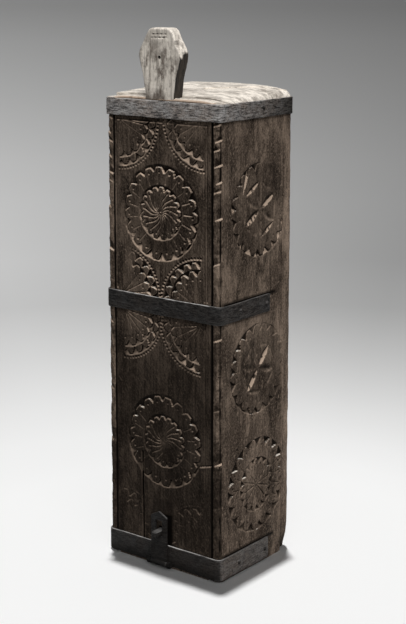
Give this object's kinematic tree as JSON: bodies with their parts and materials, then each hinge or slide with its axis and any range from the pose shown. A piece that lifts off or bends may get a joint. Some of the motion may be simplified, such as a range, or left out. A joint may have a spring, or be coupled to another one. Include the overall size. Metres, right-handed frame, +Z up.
{
  "type": "candle box",
  "caption": "Tall narrow wooden candle box with a sliding front panel lifted by a shaped handle, iron bands round it and a slotted hasp with a locking peg at the foot.",
  "frame": {"origin": "middle of the base on the surface that the box stands on, at the middle of the case's width and depth", "axes": "+Z up, the sliding panel's front faces -Y, +X to the right of someone facing the front"},
  "size_m": [0.1454, 0.1364, 0.53],
  "materials": {
    "old_wood": "dark, waxed and worn",
    "worn_wood": "pale, handled and worn",
    "iron": "dark forged iron"
  },
  "bodies": {
    "case": {"left_side": "old_wood", "right_side": "old_wood", "back_board": "old_wood", "bottom_board": "old_wood", "top_board": "worn_wood", "top_band": "iron", "middle_band": "iron", "bottom_band": "iron", "top_band_nails": "iron", "middle_band_nails": "iron", "bottom_band_nails": "iron", "back_nails": "iron", "bottom_nails": "iron", "top_pegs": "worn_wood", "hinge_eyes": "iron", "hinge_pin": "iron"},
    "panel": {"sliding_panel": "old_wood"},
    "hasp_body": {"hasp": "iron"},
    "peg": {"locking_peg": "iron"}
  },
  "joints": [
    {"name": "panel_slide", "type": "slide", "parent": "case", "child": "panel", "axis": [0, 0, 1], "range_m": [0, 0.42]},
    {"name": "hasp_swing", "type": "hinge", "parent": "case", "child": "hasp_body", "pos_m": [-0.0005, -0.0635, 0.005], "axis": [1, 0, 0], "range_deg": [0, 60]},
    {"name": "peg_pull", "type": "slide", "parent": "hasp_body", "child": "peg", "axis": [0, -1, 0], "range_m": [0, 0.012]}
  ]
}
